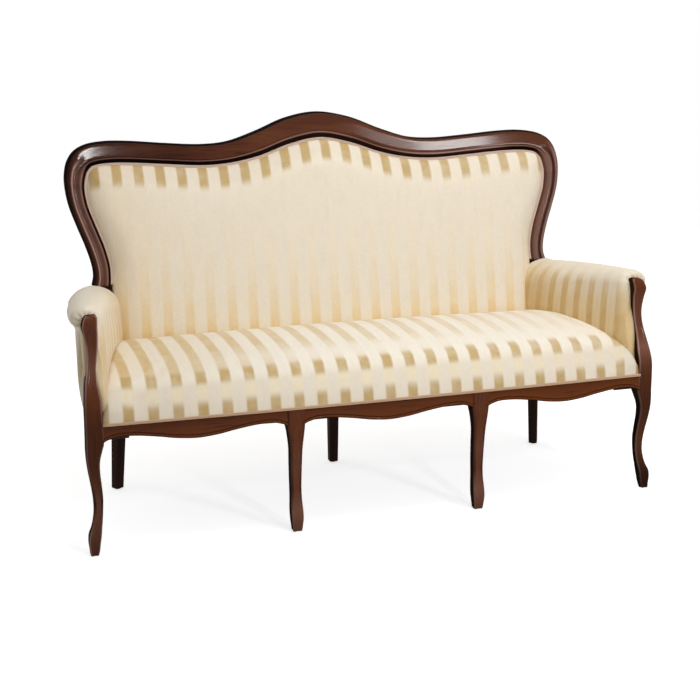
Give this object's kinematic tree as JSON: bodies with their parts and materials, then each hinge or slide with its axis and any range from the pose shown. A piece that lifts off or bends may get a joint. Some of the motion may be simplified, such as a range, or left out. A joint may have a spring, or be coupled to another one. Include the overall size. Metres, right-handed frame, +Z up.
{
  "type": "cabriole sofa",
  "caption": "Long sofa with a moulded show-wood back frame, padded rolled arms, sprung upholstered seat, serpentine front rails and cabriole front legs.",
  "frame": {"origin": "on the floor, under the middle of the whole sofa's box", "axes": "+X along the sofa's length, towards the right-hand end as seen from the front; +Y towards the back; +Z up"},
  "size_m": [1.6572, 0.7086, 1.083],
  "materials": {
    "show_wood": "dark mahogany-brown stain under gloss lacquer",
    "frame_wood": "sawn beech, unfinished",
    "striped_satin": "cream and gold satin stripe",
    "foam": "open-cell upholstery foam",
    "braid": "woven braid",
    "webbing": "elastic webbing",
    "dust_cloth": "black nonwoven cloth",
    "felt": "pressed felt"
  },
  "bodies": {
    "root": {"back_centre_glide": "felt", "back_centre_leg": "show_wood", "back_cover": "striped_satin", "back_foam": "foam", "back_gimp": "braid", "back_left_block": "frame_wood", "back_left_glide": "felt", "back_left_leg": "show_wood", "back_left_upright": "frame_wood", "back_right_block": "frame_wood", "back_right_glide": "felt", "back_right_leg": "show_wood", "back_right_upright": "frame_wood", "back_seat_rail": "frame_wood", "back_strap_1": "webbing", "back_strap_2": "webbing", "back_strap_3": "webbing", "back_tack_rail": "frame_wood", "crest_rail": "show_wood", "dust_cover": "dust_cloth", "front_centre_rail": "show_wood", "front_inner_left_glide": "felt", "front_inner_left_leg": "show_wood", "front_inner_right_glide": "felt", "front_inner_right_leg": "show_wood", "front_left_block": "frame_wood", "front_left_glide": "felt", "front_left_leg": "show_wood", "front_left_rail": "show_wood", "front_right_block": "frame_wood", "front_right_glide": "felt", "front_right_leg": "show_wood", "front_right_rail": "show_wood", "left_arm_pad": "striped_satin", "left_arm_panel": "striped_satin", "left_arm_rail": "frame_wood", "left_back_stile": "show_wood", "left_cross_rail": "frame_wood", "left_side_rail": "show_wood", "outside_back": "striped_satin", "right_arm_pad": "striped_satin", "right_arm_panel": "striped_satin", "right_arm_rail": "frame_wood", "right_back_stile": "show_wood", "right_cross_rail": "frame_wood", "right_side_rail": "show_wood", "seat_braid": "braid", "seat_cover": "striped_satin", "seat_foam": "foam", "seat_strap_1": "webbing", "seat_strap_2": "webbing", "seat_strap_3": "webbing", "seat_strap_4": "webbing", "seat_strap_5": "webbing", "seat_strap_6": "webbing", "seat_strap_7": "webbing"}
  },
  "joints": []
}
